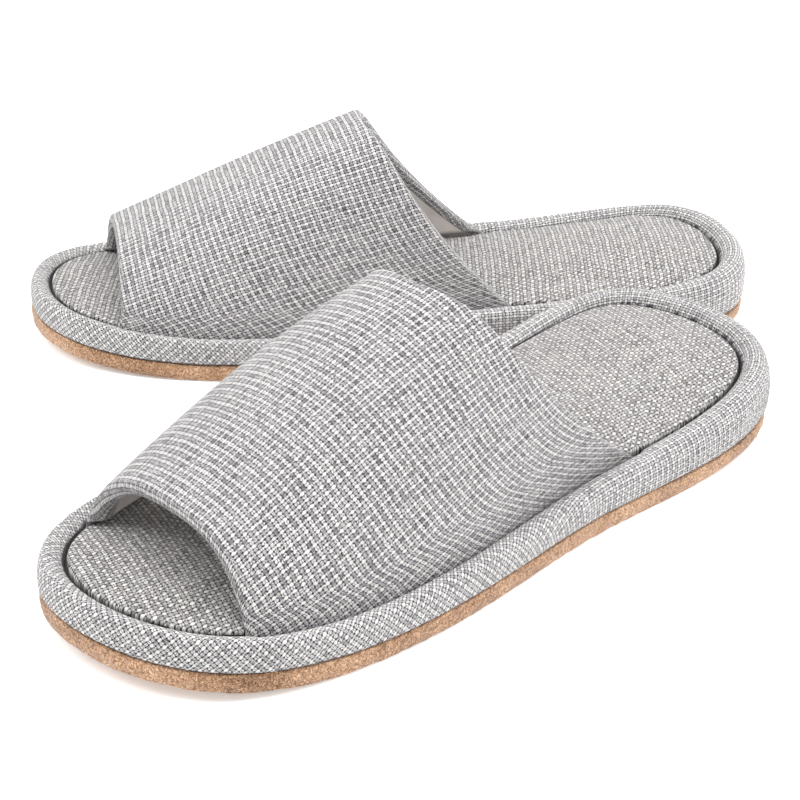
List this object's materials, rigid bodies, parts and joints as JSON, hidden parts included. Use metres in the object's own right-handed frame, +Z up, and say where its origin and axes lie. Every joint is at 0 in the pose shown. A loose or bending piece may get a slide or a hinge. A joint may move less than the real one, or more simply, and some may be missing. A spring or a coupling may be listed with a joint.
{
  "type": "pair of open-toe house slippers",
  "caption": "Pair of open-toe slippers: padded woven band over a domed cushion, fabric-wrapped rim roll and thick suede-finish sole, standing toes out and staggered.",
  "frame": {"origin": "middle of the pair's box, on the floor plane under both soles", "axes": "+Y is the way the toes point, halfway between the two slippers, which are each turned out; +X from the left slipper to the right one; +Z up off the floor"},
  "size_m": [0.279, 0.3202, 0.0776],
  "materials": {
    "suede_sole": "brushed tan suede, matt",
    "eva_foam": "white closed-cell foam, matt",
    "fibre_board": "brown pressed fibre board, matt",
    "soft_foam": "cream open-cell padding foam, matt",
    "insole_linen": "fine linen-look weave of off-white and grey yarns, matt",
    "rim_linen": "linen-look weave on the bias, matt",
    "upper_linen": "slubby linen-look plain weave, matt",
    "lining_cloth": "smooth warm grey brushed lining",
    "seam_thread": "dark grey sewing thread"
  },
  "bodies": {
    "left_slipper": {"left_outsole": "suede_sole", "left_midsole": "eva_foam", "left_insole_board": "fibre_board", "left_insole_foam": "soft_foam", "left_insole_cover": "insole_linen", "left_insole_seam": "seam_thread", "left_rim_foam": "soft_foam", "left_rim_cover": "rim_linen", "left_upper_outer": "upper_linen", "left_upper_foam": "soft_foam", "left_upper_lining": "lining_cloth"},
    "right_slipper": {"right_outsole": "suede_sole", "right_midsole": "eva_foam", "right_insole_board": "fibre_board", "right_insole_foam": "soft_foam", "right_insole_cover": "insole_linen", "right_insole_seam": "seam_thread", "right_rim_foam": "soft_foam", "right_rim_cover": "rim_linen", "right_upper_outer": "upper_linen", "right_upper_foam": "soft_foam", "right_upper_lining": "lining_cloth"}
  },
  "joints": [
    {"name": "right_slipper_lift", "type": "slide", "parent": "left_slipper", "child": "right_slipper", "axis": [0, 0, 1], "range_m": [0, 0.12]}
  ]
}
